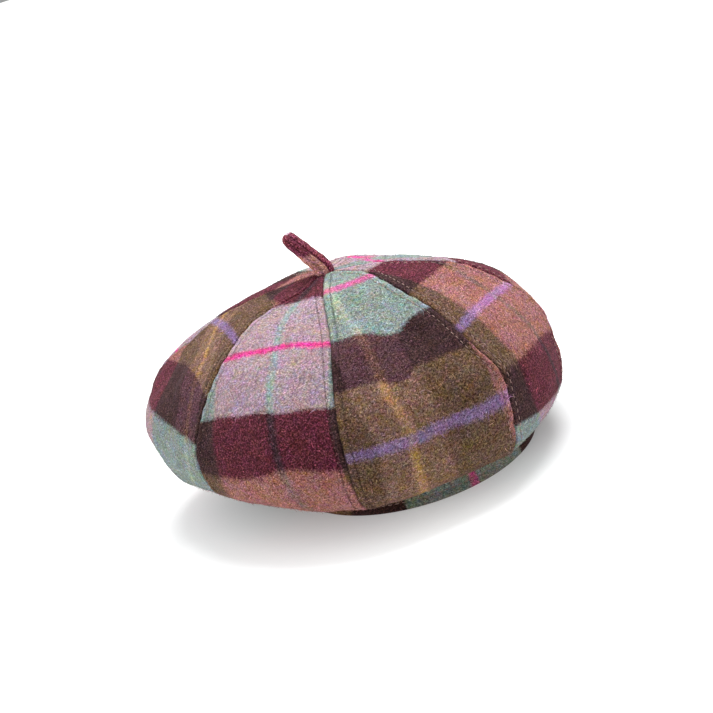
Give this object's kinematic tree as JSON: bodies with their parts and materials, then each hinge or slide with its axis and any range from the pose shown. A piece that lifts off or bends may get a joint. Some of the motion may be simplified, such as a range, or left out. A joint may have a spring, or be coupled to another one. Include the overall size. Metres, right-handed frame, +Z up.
{
  "type": "tam o shanter",
  "caption": "Soft wool tweed tam o shanter: a crown of sewn gores in a woven check, slouched to one side over a narrow headband, with a cloth stalk at its tip.",
  "frame": {"origin": "centre of the head opening, on the surface that the headband's lower edge rests on", "axes": "+Z up through the crown, -Y the front of the hat, -X the side that the crown slouches to"},
  "size_m": [0.2831, 0.3045, 0.1722],
  "materials": {
    "crown_tweed": "matt",
    "headband_tweed": "matt",
    "stalk_tweed": "matt"
  },
  "bodies": {
    "root": {"crown_panel_1": "crown_tweed", "crown_panel_2": "crown_tweed", "crown_panel_3": "crown_tweed", "crown_panel_4": "crown_tweed", "crown_panel_5": "crown_tweed", "crown_panel_6": "crown_tweed", "crown_panel_7": "crown_tweed", "crown_panel_8": "crown_tweed", "headband": "headband_tweed", "stalk": "stalk_tweed"}
  },
  "joints": []
}
